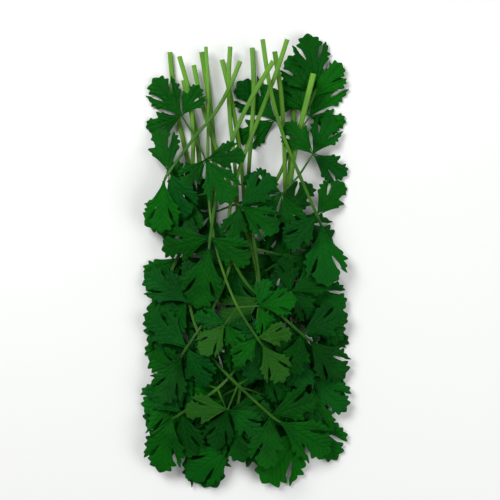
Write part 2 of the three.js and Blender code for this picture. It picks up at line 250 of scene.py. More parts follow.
plans = [plan_leafy_stem(*numbers) for *numbers, _ in LEAFY_STEMS]
print(sum(len(plan["leaflets"]) for plan in plans), "leaflets planned")

# %% [markdown]
# ## How the pile settles
# The stems are laid down in turn. A grid holds the height of the pile, and every stalk and leaflet
# comes down until it rests on it. A cloth simulation could do this too, but a rule runs in seconds
# and keeps each stem clear of those below it.

# %% The height of the pile
BLADE_THICKNESS, GAP, CELL, PILE_BORDER = 0.7, 0.55, 1.5, 12


class Pile:
    """The height of what lies there, over square cells."""

    def __init__(self):
        self.columns = math.ceil((BUNCH_WIDTH + 2 * PILE_BORDER) / CELL)
        self.rows = math.ceil((BUNCH_LENGTH + 2 * PILE_BORDER) / CELL)
        self.heights = np.full((self.rows, self.columns), -GAP)

    def cells(self, x, y):
        column = np.floor(np.asarray(x) / CELL + self.columns / 2).astype(int)
        row = np.floor(np.asarray(y) / CELL + self.rows / 2).astype(int)
        return np.clip(row, 0, self.rows - 1), np.clip(column, 0, self.columns - 1)

    def at(self, x, y):
        return self.heights[self.cells(x, y)]

    def lift_to(self, x, y, z):
        np.maximum.at(self.heights, self.cells(x, y), z)

    def highest(self, point, reach):
        low_row, low_column = self.cells(*(point - reach))
        high_row, high_column = self.cells(*(point + reach))
        return max(-GAP, self.heights[low_row:high_row + 1, low_column:high_column + 1].max())

print("the pile is kept over", Pile().heights.size, "cells")

# %% [markdown]
# ### Stalks on the pile
# A stalk bridges the dips between the leaves that carry it. It could be let fall as a rope. Here each
# point starts just above what lies under it, and is raised until no step sags or dips too far.

# %% Lay a stalk over the pile
STEM_SAG, END_SAG, BRIDGE_PASSES = 0.9, 2.5, 8
EARLY, HALFWAY, LATE = 0.25, 0.5, 0.75


def bridge(pile, points, radii, reach, first=None):
    """The stalk's points with their heights; a first height that is given stays."""
    last = len(points) - 1

    def clear(i, share):
        spot = points[i] + (points[min(i + 1, last)] - points[i]) * share
        return pile.highest(spot, reach(i)) + GAP

    heights = []
    for i, radius in enumerate(radii):
        before = clear(i - 1, LATE) if i > 0 else 0
        heights.append(max(before, clear(i, 0), clear(i, EARLY)) + radius)
    if first is not None:
        heights[0] = first
    for _ in range(BRIDGE_PASSES):
        if first is None:
            heights[0] = max(heights[0], 2 * heights[1] - heights[2] - END_SAG)
        for i in range(1, last):
            heights[i] = max(heights[i], (heights[i - 1] + heights[i + 1]) / 2 - STEM_SAG)
        for i in range(last):
            level = (heights[i] + heights[i + 1]) / 2
            short = max(0, clear(i, HALFWAY) + (radii[i] + radii[i + 1]) / 2 - level)
            heights[i] += short if i > 0 else 0
            heights[i + 1] += short if i > 0 else 2 * short
    return np.array([[x, y, z] for (x, y), z in zip(points, heights)])

print("a stalk sags by", STEM_SAG, "mm at most between its points")

# %% [markdown]
# ### Leaflets on the pile
# A blade rises or droops within its first third, and then leans and curls a little. A few leans are
# tried, and the one that lets it lie lowest wins. Moving each corner by itself could come closer to
# nature, but it would let the sheet crumple.

# %% The form of a leaflet
RISE_END = 0.3


def smooth(t):
    s = np.clip(t, 0, 1)
    return s * s * (3 - 2 * s)


def place(leaflet, u, v):
    """Where a spot of the leaflet lies, given across and along it."""
    along, across = math.cos(leaflet["angle"]), math.sin(leaflet["angle"])
    x, y = leaflet["base"]
    return x + v * along + u * across, y + v * across - u * along


def curl(leaflet, u, v):
    t = v / leaflet["length"]
    folded = leaflet["fold"] * np.abs(u) * smooth(t / RISE_END)
    return leaflet["bend"] * v * t + folded + leaflet["twist"] * u * t


def height(leaflet, u, v):
    share = smooth(v / leaflet["length"] / RISE_END)
    risen = (leaflet["lift"] + leaflet["lean_across"] * u) * share
    return leaflet["node_height"] + leaflet["lean_along"] * v + risen + curl(leaflet, u, v)

print("the example's tip curls by", round(curl(example, 0, example["length"]), 2), "mm")

# %% Let a leaflet down
LEANS = [0, -0.12, 0.12, -0.24, 0.24, -0.36]
LEVEL_STEP, DEEPEST_DROOP, NECK_END, OWN_FROM, SAMPLE_STEP = 1e-3, 0.3, 0.15, 0.45, 1


def raise_pile(pile, leaflet, samples):
    u, v = samples.T
    pile.lift_to(*place(leaflet, u, v), height(leaflet, u, v) + BLADE_THICKNESS / 2)


def inside(outline, u, v):
    found = np.zeros(np.shape(u), bool)
    for (u0, v0), (u1, v1) in zip(np.roll(outline, 1, axis=0), outline):
        if v0 == v1:
            continue
        crosses = (v1 > v) != (v0 > v)
        found ^= crosses & (u < (u0 - u1) * (v - v1) / (v0 - v1) + u1)
    return found


def samples_of(leaflet):
    half = math.ceil(leaflet["length"] / 2)
    across = np.arange(-half, half + 1.0, SAMPLE_STEP)
    u, v = np.meshgrid(across, np.arange(0, leaflet["length"], SAMPLE_STEP))
    u, v = u.ravel(), v.ravel()
    kept = inside(leaflet["outline"], u, v)
    return np.concatenate([leaflet["outline"], np.column_stack([u[kept], v[kept]])])


def settle_leaflet(leaflet, pile, own):
    length = leaflet["length"]
    samples = samples_of(leaflet)
    u, v = samples[samples[:, 1] > NECK_END * length].T
    x, y = place(leaflet, u, v)
    ground = np.maximum(pile.at(x, y), np.where(v > OWN_FROM * length, own.at(x, y), -GAP))
    share = smooth(v / length / RISE_END)
    short = ground + GAP + BLADE_THICKNESS / 2 - leaflet["node_height"] - curl(leaflet, u, v)
    lowest = math.inf
    for lean_along in LEANS:
        for lean_across in LEANS:
            needed = ((short - lean_along * v) / share - lean_across * u).max()
            lift = max(-DEEPEST_DROOP * length, needed)
            level = (lean_along * v + lift * share).mean()
            if level < lowest - LEVEL_STEP:
                lowest = level
                leaflet.update(lean_along=lean_along, lean_across=lean_across, lift=lift)
    raise_pile(own, leaflet, samples[samples[:, 1] >= OWN_FROM * length])
    leaflet["samples"] = samples

print("the example is held up at", len(samples_of(example)), "spots")

# %% [markdown]
# ### The whole pile
# A stem settles from its petiole to its side stalks and leaflets, and is then added to the pile, for
# the next stem to rest on.

# %% Lay the stems down one after another
PETIOLE_REACH, FROND_REACH, NODE_REACH = 2.5, 3.5, 5.5


def bury(pile, points, radii):
    for a, b, r in zip(points, points[1:], radii):
        steps = math.ceil(np.linalg.norm(b - a) / SAMPLE_STEP)
        for s in range(steps + 1):
            x, y, z = a + (b - a) * s / steps
            for dx in (-r, 0, r):
                for dy in (-r, 0, r):
                    pile.lift_to(x + dx, y + dy, z + r)


def settle(plan, pile):
    scale, fork = plan["scale"], plan["fork"]
    radii = np.linspace(PETIOLE_RADIUS, RACHIS_END_RADIUS, len(plan["axis"])) * scale
    thin = np.linspace(STALK_RADIUS, STALK_END_RADIUS, STALK_POINTS) * scale
    axis = bridge(pile, plan["axis"], radii, lambda i: PETIOLE_REACH if i < fork else NODE_REACH)
    reach = lambda i: FROND_REACH if i < STALK_POINTS - 1 else NODE_REACH
    stalks = [bridge(pile, points, thin, reach, axis[node][2]) for node, points in plan["stalks"]]
    own = Pile()
    for leaflet in plan["leaflets"]:
        foot = axis[leaflet["node"]] if leaflet["stalk"] < 0 else stalks[leaflet["stalk"]][-1]
        leaflet["node_height"] = foot[2]
        settle_leaflet(leaflet, pile, own)
    bury(pile, axis, radii)
    for points in stalks:
        bury(pile, points, thin)
    for leaflet in plan["leaflets"]:
        raise_pile(pile, leaflet, leaflet["samples"])
    return {**plan, "axis": axis, "radii": radii, "stalks": stalks, "thin": thin}


pile = Pile()
stems = []
for plan, (*_, tone) in zip(plans, LEAFY_STEMS):
    stems.append({**settle(plan, pile), "tone": tone})
print("the pile is", round(float(pile.heights.max()), 2), "mm high")

# %% [markdown]
# ## Setting the grown stems on the solids
# The solids' origin lies under the middle of the bunch. The shift could be copied as a number. Here
# each grown stem's leaf edges are set against its solid's box, and the middle difference is taken.

# %% Find the shift
MM = 0.001
shifts = []
for number, stem in enumerate(stems, 1):
    low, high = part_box(f"leafy_stem_{number:02d}")
    edges = [np.column_stack(place(leaf, *leaf["outline"].T)) for leaf in stem["leaflets"]]
    left, front = np.concatenate(edges).min(axis=0)
    shifts.append((low.x / MM - left, low.y / MM - front))
shift_x, shift_y = np.median(shifts, axis=0)
print("shift", round(shift_x, 3), round(shift_y, 3), "mm")

# %% [markdown]
# ## The outline of a leaflet
# A leaflet of flat-leaf parsley is a wedge that opens into lobes, and each lobe ends in blunt teeth.
# The outline could be traced point by point. Here each tooth is given by its tip and the notch after
# it, and a little chance makes each pattern's teeth its own.

# %% The halves of a leaflet, one unit long
THREE_LOBED_SIDE = {
    "shoulder": [
        (0.024, -0.02), (0.036, 0.06), (0.08, 0.15), (0.14, 0.25), (0.2, 0.34), (0.252, 0.4),
    ],
    "outer_teeth": [
        ((0.33, 0.45), (0.296, 0.51)), ((0.38, 0.56), (0.312, 0.612)),
        ((0.352, 0.694), (0.322, 0.728)), ((0.34, 0.806), (0.256, 0.73)),
    ],
    "cut": [
        (0.232, 0.66), (0.172, 0.568), (0.124, 0.5), (0.122, 0.545), (0.15, 0.63), (0.184, 0.715),
    ],
    "middle_teeth": [((0.252, 0.785), (0.186, 0.832)), ((0.198, 0.915), (0.098, 0.92))],
}
WIDE_SIDE = {
    "shoulder": [
        (0.024, -0.02), (0.04, 0.06), (0.095, 0.15), (0.165, 0.255), (0.232, 0.345), (0.284, 0.405),
    ],
    "outer_teeth": [
        ((0.36, 0.468), (0.322, 0.525)), ((0.41, 0.59), (0.35, 0.635)),
        ((0.398, 0.725), (0.33, 0.74)), ((0.318, 0.812), (0.25, 0.745)),
    ],
    "cut": [
        (0.212, 0.65), (0.16, 0.572), (0.116, 0.51), (0.114, 0.56), (0.142, 0.65), (0.176, 0.735),
    ],
    "middle_teeth": [((0.242, 0.81), (0.176, 0.855)), ((0.176, 0.935), (0.084, 0.935))],
}
NARROW_SIDE = {
    "shoulder": [
        (0.024, -0.02), (0.034, 0.06), (0.075, 0.16), (0.125, 0.26), (0.175, 0.345), (0.212, 0.4),
    ],
    "outer_teeth": [((0.284, 0.455), (0.246, 0.51)), ((0.318, 0.6), (0.25, 0.635))],
    "cut": [(0.212, 0.622), (0.182, 0.615), (0.158, 0.622), (0.15, 0.65), (0.155, 0.7), (0.16, 0.75)],
    "middle_teeth": [((0.222, 0.815), (0.16, 0.855)), ((0.162, 0.935), (0.078, 0.935))],
}
print("teeth on a wide lobe", len(WIDE_SIDE["outer_teeth"]))

# %% Smooth lines and blunt teeth
SPAN_POINTS, TOOTH_POINTS, BLUNTNESS = 2, 7, 0.6


def between(a, b, c, d, t):
    """A point between b and c on a smooth line through all four."""
    return b + 0.5 * t * ((c - a) + t * ((2 * a - 5 * b + 4 * c - d) + t * (3 * (b - c) + d - a)))


def through(points):
    """Points on a smooth line through the given ones, without the last."""
    ends = np.array([points[0], *points, points[-1]], float)
    spans = zip(ends, ends[1:], ends[2:], ends[3:])
    return [between(*span, k / SPAN_POINTS) for span in spans for k in range(SPAN_POINTS)]


def tooth(start, tip, end):
    """A blunt tooth from one notch to the next, without the last point."""
    start, tip, end = np.array(start), np.array(tip), np.array(end)
    crown = 2 * tip - (start + end) / 2
    line = []
    for k in range(TOOTH_POINTS):
        t = k / TOOTH_POINTS
        blunt = (1 - t) ** 2 * start + 2 * t * (1 - t) * crown + t * t * end
        sharp = start + (tip - start) * 2 * t if t < 0.5 else tip + (end - tip) * (2 * t - 1)
        line.append(sharp + (blunt - sharp) * BLUNTNESS)
    return line

print("a tooth has", TOOTH_POINTS, "points")

# %% [markdown]
# ## The veins of a leaflet
# The main veins run from the foot to the tip of each lobe, and the blade is creased along them. A
# plain grid would be simpler, but its creases would be ragged. So each point of the edge is told
# which vein point it looks to, and the faces between them follow the veins.

# %% Pair the edge of one half with its veins
FOOT, MIDRIB_END, LOBE_VEIN = 0.08, 0.89, 0.9
LOBE_NODES, MIDRIB_NODES, VEIN_LAG = 5, 8, 0.06
TIP_JITTER, NOTCH_JITTER = 0.011, 0.008
NECK_POINTS, NECK_START, NECK_STEP, CUT_GAP = 4, -0.005, 0.025, 0.0001
HALF_TOOTH = TOOTH_POINTS // 2 + 1


def vein_steps(points, foot, way, count, start):
    """The vein node that each edge point looks to; it moves by one node at most."""
    along = (np.array(points) - foot) @ way / (way @ way)
    wanted = np.round(np.clip(along - VEIN_LAG, 0, 1) * count).astype(int)
    back = start == count
    steps = []
    for step in wanted:
        last = steps[-1] if steps else start
        steps.append(int(np.clip(step, last - 1, last) if back else np.clip(step, last, last + 1)))
    return steps


def half_edge(side, jitter):
    """The lobe's edge, the cut's side of the lobe, the middle's edge, and the lobe's tip."""
    moved = lambda spot, by: tuple(np.array(spot) + jitter.normal(0, by, 2))
    outer = through(side["shoulder"])
    notch = side["shoulder"][-1]
    for tip, after in side["outer_teeth"]:
        before, lobe_tip, after = notch, moved(tip, TIP_JITTER), moved(after, NOTCH_JITTER)
        outer += tooth(before, lobe_tip, after)
        notch = after
    lobe_end = np.mean([before, lobe_tip, notch], axis=0)
    slope = through([notch, *side["cut"]])
    deepest = int(np.argmin([p[1] for p in slope]))
    middle, notch = slope[deepest:], side["cut"][-1]
    for tip, after in side["middle_teeth"]:
        after = moved(after, NOTCH_JITTER)
        middle += tooth(notch, moved(tip, TIP_JITTER), after)
        notch = after
    middle += tooth(notch, (0, 1), (-notch[0], notch[1]))[:HALF_TOOTH]
    return outer, slope[:deepest], middle, lobe_end


def half_leaflet(side, jitter):
    """One half's edge points, the vein points they look to, and their veins' feet and ways."""
    outer, inner, middle, lobe_end = half_edge(side, jitter)
    foot = np.array([0, FOOT])
    lobe_way, middle_way = (lobe_end - foot) * LOBE_VEIN, np.array([0, MIDRIB_END - FOOT])
    on_lobe = lambda k: foot + lobe_way * k / LOBE_NODES
    on_midrib = lambda k: foot + middle_way * k / MIDRIB_NODES
    cut = middle[0]
    sinus = cut @ middle_way / (middle_way @ middle_way) - FOOT / middle_way[1]
    out = vein_steps(outer[NECK_POINTS:], foot, lobe_way, LOBE_NODES, 0)
    far = vein_steps(inner, foot, lobe_way, LOBE_NODES, LOBE_NODES)
    near = vein_steps(middle, foot, middle_way, MIDRIB_NODES, round(sinus * MIDRIB_NODES))
    neck = enumerate(outer[:NECK_POINTS])
    ways = [(p, [0, NECK_START + NECK_STEP * (i // 2)], 0) for i, p in neck]
    ways += [(p, on_lobe(k), 0) for p, k in zip(outer[NECK_POINTS:] + inner, out + far)]
    # the bottom of the cut looks to all vein points between the two veins
    fan = [(on_lobe(k), 0) for k in range(far[-1], -1, -1)]
    fan += [(on_midrib(k), 1) for k in range(1, near[0])]
    apart = np.array([CUT_GAP, 0])
    ways += [(cut + apart * (len(fan) - i), look, lobe) for i, (look, lobe) in enumerate(fan)]
    ways += [(p, on_midrib(k), 1) for p, k in zip(middle, near)]
    frames = [(foot, way / np.linalg.norm(way)) for way in (lobe_way, middle_way)]
    edge, vein = np.array([w[0] for w in ways]), np.array([w[1] for w in ways])
    return edge, vein, [frames[w[2]] for w in ways]

print("a lobe's vein has", LOBE_NODES, "steps, the midrib", MIDRIB_NODES)

# %% [markdown]
# ## Modelling a leaflet
# A leaflet could be a picture on a card, but its edge would be wrong from the side. Here a circle is
# pulled to the toothed outline and extruded inwards, ring by ring, until the last ring lies on the
# veins. Solidify then gives the blade its thickness.

# %% Helpers for meshes


def mode(name):
    bpy.ops.object.mode_set(mode=name)


def circle(name, count, fill):
    bpy.ops.mesh.primitive_circle_add(vertices=count, radius=1, fill_type=fill)
    bpy.context.object.name = name
    return bpy.context.object


def only(thing):
    bpy.ops.object.select_all(action="DESELECT")
    thing.select_set(True)
    bpy.context.view_layer.objects.active = thing
    return thing


def numbers_of(data, name, width=1):
    found = np.zeros(len(data) * width)
    data.foreach_get(name, found)
    return found.reshape(-1, width)


def corners_of(thing):
    return numbers_of(thing.data.vertices, "co", 3)


def set_corners(thing, points):
    thing.data.vertices.foreach_set("co", points.ravel())


def set_share(mesh, name, values):
    """Store a number on each corner, which the finishes read."""
    share = mesh.attributes.new(name, "FLOAT", "POINT")
    share.data.foreach_set("value", np.broadcast_to(values, len(mesh.vertices)).astype(np.float32))


def get_share(mesh, name):
    return numbers_of(mesh.attributes[name].data, "value")[:, 0]

# %% Draw the rings of a leaflet
RINGS = [0.08, 0.27, 0.48, 0.7, 0.87, 1.0]
PLACES, BRANCH_SLOPE = 6, 1.1


def draw_rings(leaf, edge, vein):
    """Extrude the circle to the veins; give each corner's edge point and share of the way."""
    count = len(edge)
    owner, shares = list(range(count)), [0.0] * count
    set_corners(leaf, np.column_stack([edge, np.zeros(count)]))
    for share in RINGS:
        before = len(leaf.data.vertices)
        mode("EDIT")
        bpy.ops.mesh.extrude_region_move()
        mode("OBJECT")
        points = corners_of(leaf)
        known = {tuple(points[i].round(PLACES)): owner[i] for i in range(before - count, before)}
        for i in range(before, len(points)):
            k = known[tuple(points[i].round(PLACES))]
            owner.append(k)
            shares.append(share)
            points[i, :2] = edge[k] + share * (vein[k] - edge[k])
        set_corners(leaf, points)
    return owner, shares


def map_lobes(mesh, owner, lobes):
    """Store where each corner lies beside, along and on the branches of its lobe's vein."""
    runs = []
    for k, point in zip(owner, numbers_of(mesh.vertices, "co", 3)[:, :2]):
        foot, way = lobes[k]
        x, y = point - foot
        runs.append(x * way[0] + y * way[1] - abs(x * way[1] - y * way[0]) * BRANCH_SLOPE)
    set_share(mesh, "run", runs)
    lobe_map = mesh.uv_layers.new(name="lobe")
    for face in mesh.polygons:
        spans = sorted({owner[i] for i in face.vertices})
        foot, way = lobes[spans[-1] if spans == [0, len(lobes) - 1] else spans[0]]
        for corner in face.loop_indices:
            spot = np.array(mesh.vertices[mesh.loops[corner].vertex_index].co[:2]) - foot
            lobe_map.data[corner].uv = (spot[0] * way[1] - spot[1] * way[0], spot @ way)

print(len(RINGS), "rings")

# %% Model one leaflet
LEAFLET_SIZE, SHEET_THICKNESS, MERGE_WITHIN, LEAF_SMOOTHING = 30, 0.42, 0.0012, 55


def model_leaflet(name, right, left, seed):
    jitter = np.random.default_rng(seed)
    edge_r, vein_r, lobes_r = half_leaflet(right, jitter)
    edge_l, vein_l, lobes_l = half_leaflet(left, jitter)
    turned = np.array([-1, 1])
    edge = np.concatenate([edge_r, [[0, 1]], (edge_l * turned)[::-1]])
    vein = np.concatenate([vein_r, [[0, MIDRIB_END]], (vein_l * turned)[::-1]])
    lobes = lobes_r + [lobes_r[-1]] + [(foot, way * turned) for foot, way in reversed(lobes_l)]
    leaf = circle(name, len(edge), "NOTHING")
    owner, shares = draw_rings(leaf, edge, vein)
    set_share(leaf.data, "inner", shares)
    map_lobes(leaf.data, owner, lobes)
    mode("EDIT")
    bpy.ops.mesh.select_all(action="SELECT")
    bpy.ops.mesh.remove_doubles(threshold=MERGE_WITHIN)
    bpy.ops.mesh.normals_make_consistent(inside=False)
    mode("OBJECT")
    faces = leaf.data.polygons
    if sum(face.normal.z * face.area for face in faces) < 0:
        leaf.data.flip_normals()
    print(name, len(faces), "faces,", sum(face.normal.z < 0 for face in faces), "turned")
    return leaf


def give_thickness(leaf):
    only(leaf)
    solid = leaf.modifiers.new("thickness", "SOLIDIFY")
    solid.thickness = SHEET_THICKNESS / LEAFLET_SIZE
    solid.offset = 0
    solid.material_offset = 1
    solid.use_even_offset = False
    bpy.ops.object.modifier_apply(modifier=solid.name)
    bpy.ops.object.shade_smooth_by_angle(angle=math.radians(LEAF_SMOOTHING))
    return leaf

print("blades are", SHEET_THICKNESS, "mm thick")

# %% [markdown]
# ## Wires between shader nodes
# A finish is a net of small nodes. They could be joined one by one, as in the shader editor, but
# sums are easier to read as sums. So a socket is wrapped in a class whose arithmetic makes the nodes.

# %% A wire, and colours as they look on a screen
SRGB_KNEE, SRGB_SLOPE, SRGB_SHIFT, SRGB_POWER = 0.04045, 12.92, 0.055, 2.4
MIX_INPUTS, MIX_RESULT = (0, 6, 7), 2


class Wire:
    """A socket of a material, from which sums and further nodes are made."""

    def __init__(self, tree, socket=None):
        self.tree, self.socket = tree, socket

    def node(self, kind, settings=None, inputs=None, output=0):
        made = self.tree.nodes.new("ShaderNode" + kind)
        for name, value in (settings or {}).items():
            setattr(made, name, value)
        for name, value in (inputs or {}).items():
            if isinstance(value, Wire):
                self.tree.links.new(value.socket, made.inputs[name])
            else:
                made.inputs[name].default_value = value
        return Wire(self.tree, made.outputs[output])

    def math(self, operation, *values):
        return self.node("Math", {"operation": operation}, dict(enumerate(values)))

    def mix(self, factor, low, high):
        inputs = dict(zip(MIX_INPUTS, (factor, low, high)))
        return self.node("Mix", {"data_type": "RGBA"}, inputs, MIX_RESULT)

    def part(self, axis):
        return self.node("SeparateXYZ", inputs={0: self}, output=axis)

    def share(self, name):
        return self.node("Attribute", {"attribute_name": name}, output="Fac")

    def noise(self, spot, scale, detail):
        inputs = {"Vector": spot, "Scale": scale, "Detail": detail}
        return self.node("TexNoise", inputs=inputs)

    def feed(self, skin, name):
        self.tree.links.new(self.socket, skin.inputs[name])

    def bump(self, strength, distance):
        inputs = {"Height": self, "Strength": strength, "Distance": distance}
        return self.node("Bump", inputs=inputs)

    def clipped(self):
        return self.node("Clamp", inputs={"Value": self})

    __add__ = __radd__ = lambda self, other: self.math("ADD", self, other)
    __mul__ = __rmul__ = lambda self, other: self.math("MULTIPLY", self, other)
    __sub__ = lambda self, other: self.math("SUBTRACT", self, other)
    __rsub__ = lambda self, other: self.math("SUBTRACT", other, self)
    __truediv__ = lambda self, other: self.math("DIVIDE", self, other)
    __abs__ = lambda self: self.math("ABSOLUTE", self)


def green(red, mid, blue):
    """A colour given as it looks on a screen, as light."""
    shares = [c / 255 for c in (red, mid, blue)]
    bright = lambda s: ((s + SRGB_SHIFT) / (1 + SRGB_SHIFT)) ** SRGB_POWER
    return (*[s / SRGB_SLOPE if s <= SRGB_KNEE else bright(s) for s in shares], 1)


def new_finish(name, roughness, specular):
    material = bpy.data.materials.new(name)
    material.use_nodes = True
    tree = material.node_tree
    skin = tree.nodes["Principled BSDF"]
    skin.inputs["Roughness"].default_value = roughness
    skin.inputs["Specular IOR Level"].default_value = specular
    return material, skin, Wire(tree)

print("half grey on a screen is", round(green(128, 128, 128)[0], 3), "as light")

# %% [markdown]
# ## The two sides of a leaflet
# The upper side of a leaflet is a deep satin green with fine sunken veins, and the underside is paler
# and dull, with veins that stand out. A picture of a leaf would blur in a close view, so both are
# worked out from where a point lies beside its lobe's main vein.

# %% Make the two finishes
WANDER_SCALE, WANDER_DETAIL, PATCH_SCALE, PATCH_DETAIL, NET_SCALE = 300, 2, 90, 3, 850
MAIN_VEIN, VEIN_TAPER, BRANCH_VEIN, NET_VEIN = 0.34, 0.008, 0.07, 0.12
BRANCH_GAP, BRANCH_HAND, BRANCH_WANDER, BRANCH_SHOW, NET_SHOW = 3.1, 0.22, 0.5, 0.6, 0.22
TONE_SHARE, PATCH_SHARE, COOL_SHARE, ROUGH_SPREAD, LEAF_SHINE = 0.75, 0.9, 0.5, 0.16, 0.06
PATCH_RELIEF, QUILT_RELIEF, RELIEF_STRENGTH, RELIEF_HEIGHT = 0.5, 0.2, 0.8, 0.0004
TURN = 2 * math.pi


def leaf_finish(name, greens, roughness, vein_show, relief):
    deep, greener, vein_green, bluish = greens
    material, skin, wire = new_finish(name, roughness, LEAF_SHINE)
    lobe = wire.node("UVMap", {"uv_map": "lobe"})
    beside, along = lobe.part("X"), lobe.part("Y")
    spot = wire.node("TexCoord", output="Object")
    wander = wire.noise(spot, WANDER_SCALE, WANDER_DETAIL)
    patches = wire.noise(spot, PATCH_SCALE, PATCH_DETAIL)
    net_inputs = {"Vector": spot, "Scale": NET_SCALE}
    net = wire.node("TexVoronoi", {"feature": "DISTANCE_TO_EDGE"}, net_inputs)
    main = (1 - abs(beside) / (MAIN_VEIN - along * VEIN_TAPER)).clipped()
    hand = wire.math("SIGN", beside) * BRANCH_HAND
    run = (along - abs(beside) * BRANCH_SLOPE) / BRANCH_GAP + hand + wander * BRANCH_WANDER
    branch = (1 - abs(wire.math("FRACT", run) - 0.5) / BRANCH_VEIN).clipped()
    veins = wire.math("MAXIMUM", main, branch * BRANCH_SHOW)
    lines = wire.math("MAXIMUM", veins, (1 - net / NET_VEIN).clipped() * NET_SHOW)
    # the stored tone is partly tone at random and partly painted light, lighter at the edge of the
    # bunch and on single leaflets
    tone = wire.share("tone") * TONE_SHARE + (patches - 0.5) * PATCH_SHARE
    blade = wire.mix(tone.clipped(), deep, greener)
    tinted = wire.mix(wire.share("cool") * COOL_SHARE, blade, bluish)
    wire.mix(lines * vein_show, tinted, vein_green).feed(skin, "Base Color")
    (wander * ROUGH_SPREAD + (roughness - ROUGH_SPREAD / 2)).feed(skin, "Roughness")
    quilt = wire.math("COSINE", run * TURN) * (1 - main)
    level = lines * relief + patches * PATCH_RELIEF + quilt * QUILT_RELIEF
    level.bump(RELIEF_STRENGTH, RELIEF_HEIGHT).feed(skin, "Normal")
    return material


upper_greens = green(0, 50, 5), green(6, 94, 4), green(28, 114, 18), green(0, 68, 20)
under_greens = green(22, 74, 12), green(40, 94, 22), green(66, 118, 42), green(24, 74, 20)
upper_finish = leaf_finish("leaf_upper_side", upper_greens, roughness=0.5, vein_show=0.4, relief=-0.9)
under_finish = leaf_finish("leaf_underside", under_greens, roughness=0.65, vein_show=0.5, relief=1.0)
for finish in (upper_finish, under_finish):
    print(finish.name, "has", len(finish.node_tree.nodes), "nodes")

# %% [markdown]
# ## The finish of the stalks
# The stalks are palest towards the cut end, with fine ribs and a moist pale pith on the cut face.
# Painting by hand could show this on one stalk. Here two numbers stored on the corners do it for all.

# %% Make the stalks' finish
STALK_ROUGHNESS, STALK_SHINE, STALK_PATCH_SCALE, RIB_LINES = 0.45, 0.2, 70, 9
STALK_PATCH_SHARE, RIB_SHARE, PITH_SHARE, PITH_PATCHES = 0.8, 0.12, 0.7, 0.3
RIB_STRENGTH, RIB_RELIEF = 0.35, 0.0002


def stalk_finish(name, pale, greener, cut_face):
    material, skin, wire = new_finish(name, STALK_ROUGHNESS, STALK_SHINE)
    lobe = wire.node("UVMap", {"uv_map": "lobe"})
    around = lobe.part("X")
    spot = wire.node("TexCoord", output="Object")
    patches = wire.noise(spot, STALK_PATCH_SCALE, PATCH_DETAIL)
    ribs = wire.math("SINE", around * (TURN * RIB_LINES))
    tone = wire.share("tone") + (patches - 0.5) * STALK_PATCH_SHARE + ribs * RIB_SHARE
    rind = wire.mix(tone.clipped(), greener, pale)
    pith = wire.share("pith") * (PITH_SHARE + patches * PITH_PATCHES)
    wire.mix(pith, rind, cut_face).feed(skin, "Base Color")
    ribs.bump(RIB_STRENGTH, RIB_RELIEF).feed(skin, "Normal")
    return material


stem_finish = stalk_finish("stalk_green", green(96, 152, 38), green(8, 66, 6), green(150, 178, 96))
print(stem_finish.name, "has", len(stem_finish.node_tree.nodes), "nodes")

# %% [markdown]
# ## Patterns of leaflets
# Middle leaflets have three lobes, and side ones a wide lobe and a narrow one. All 159 could be
# modelled anew, but a few patterns, copied and bent, look no different.

# %% Model the patterns
PATTERN_SEEDS = [40, 42, 48, 51]
HALVES = {"three_lobed": (THREE_LOBED_SIDE, THREE_LOBED_SIDE), "two_lobed": (WIDE_SIDE, NARROW_SIDE)}
patterns = {}
for variant, seed in enumerate(PATTERN_SEEDS):
    for kind, (right, left) in HALVES.items():
        leaf = model_leaflet(f"{kind}_pattern_{variant}", right, left, seed)
        leaf.data.materials.append(upper_finish)
        leaf.data.materials.append(under_finish)
        patterns[kind, variant] = give_thickness(leaf)
print(len(patterns), "patterns of leaflets")

# %% [markdown]
# ## The rod for the stalks
# A parsley stalk has fine ribs and a shallow groove on top. A curve with a bevel would give a smooth
# pipe. So a ribbed circle is drawn out ring by ring, and its ends are inset for the green rim around
# the pith.

# %% Model the straight rod
GROOVE_WIDTH, GROOVE_DEPTH, RIB_HEIGHT = 0.7, 0.22, 0.06
CUT_RIM, ROD_SMOOTHING = 0.2, 60


def ribbed_circle(name, sides, ribs):
    rod = circle(name, sides, "NGON")
    points = corners_of(rod)
    angle = np.arctan2(points[:, 1], points[:, 0])
    groove = np.clip(1 - np.abs(angle - math.pi / 2) / GROOVE_WIDTH, 0, 1)
    points[:, :2] *= (1 + RIB_HEIGHT * np.cos(angle * ribs) - GROOVE_DEPTH * groove)[:, None]
    set_corners(rod, points)
    return rod


def map_around(mesh):
    """Store each corner's turn around the rod and its share along it."""
    around = mesh.uv_layers.get("UVMap") or mesh.uv_layers.new(name="lobe")
    around.name = "lobe"
    for face in mesh.polygons:
        spots = [mesh.vertices[i].co for i in face.vertices]
        turns = [math.atan2(spot.y, spot.x) / TURN for spot in spots]
        wraps = max(turns) - min(turns) > 0.5
        for corner, turn, spot in zip(face.loop_indices, turns, spots):
            around.data[corner].uv = (turn + 1 if wraps and turn < 0 else turn, spot.z)


def model_rod(name, sides, ribs, rings):
    rod = ribbed_circle(name, sides, ribs)
    mode("EDIT")
    bpy.ops.mesh.select_all(action="SELECT")
    for _ in range(rings):
        bpy.ops.mesh.extrude_region_move(TRANSFORM_OT_translate={"value": (0, 0, 1 / rings)})
    bpy.ops.mesh.select_all(action="SELECT")
    bpy.ops.mesh.normals_make_consistent(inside=False)
    bpy.ops.mesh.select_face_by_sides(number=sides, extend=False)
    bpy.ops.mesh.inset(thickness=CUT_RIM, use_individual=True)
    mode("OBJECT")
    pith = np.zeros(len(rod.data.vertices))
    for face in rod.data.polygons:
        if len(face.vertices) == sides:
            pith[list(face.vertices)] = 1
    set_share(rod.data, "pith", pith)
    map_around(rod.data)
    rod.data.materials.append(stem_finish)
    only(rod)
    bpy.ops.object.shade_smooth_by_angle(angle=math.radians(ROD_SMOOTHING))
    return rod


